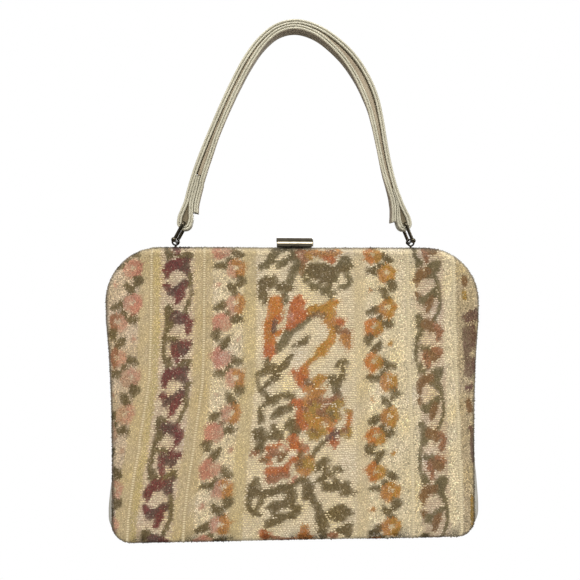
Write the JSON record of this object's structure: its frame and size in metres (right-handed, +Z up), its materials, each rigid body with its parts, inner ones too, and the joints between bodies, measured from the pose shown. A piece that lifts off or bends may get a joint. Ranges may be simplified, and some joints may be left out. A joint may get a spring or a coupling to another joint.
{
  "type": "frame handbag",
  "caption": "Tapestry frame handbag with striped floral pile cloth, a vinyl gusset, a lift clasp and a strap handle on ball-ended links, hung by its handle.",
  "frame": {"origin": "hang point: the underside of the handle at its top, in the middle of its width", "axes": "+Z up, +X to the right as seen from the front, the front faces -Y"},
  "size_m": [0.3052, 0.0526, 0.42],
  "materials": {
    "tapestry": "matte pile",
    "vinyl": "soft satin",
    "strap": "soft satin",
    "rail_steel": "dull",
    "old_brass": "worn polish"
  },
  "bodies": {
    "bag": {"front_panel": "tapestry", "back_panel": "tapestry", "gusset": "vinyl", "front_rail": "rail_steel", "back_rail": "rail_steel", "left_hinge": "rail_steel", "right_hinge": "rail_steel", "left_ear": "old_brass", "right_ear": "old_brass", "left_link": "old_brass", "right_link": "old_brass", "clasp_base": "old_brass", "clasp_catch": "old_brass", "handle_strap": "strap", "handle_facing": "strap"},
    "clasp_lever": {"clasp_lever": "old_brass"}
  },
  "joints": [
    {"name": "clasp_lift", "type": "hinge", "parent": "bag", "child": "clasp_lever", "pos_m": [0, 0.0038, -0.1764], "axis": [-1, 0, 0], "range_deg": [0, 85]}
  ]
}
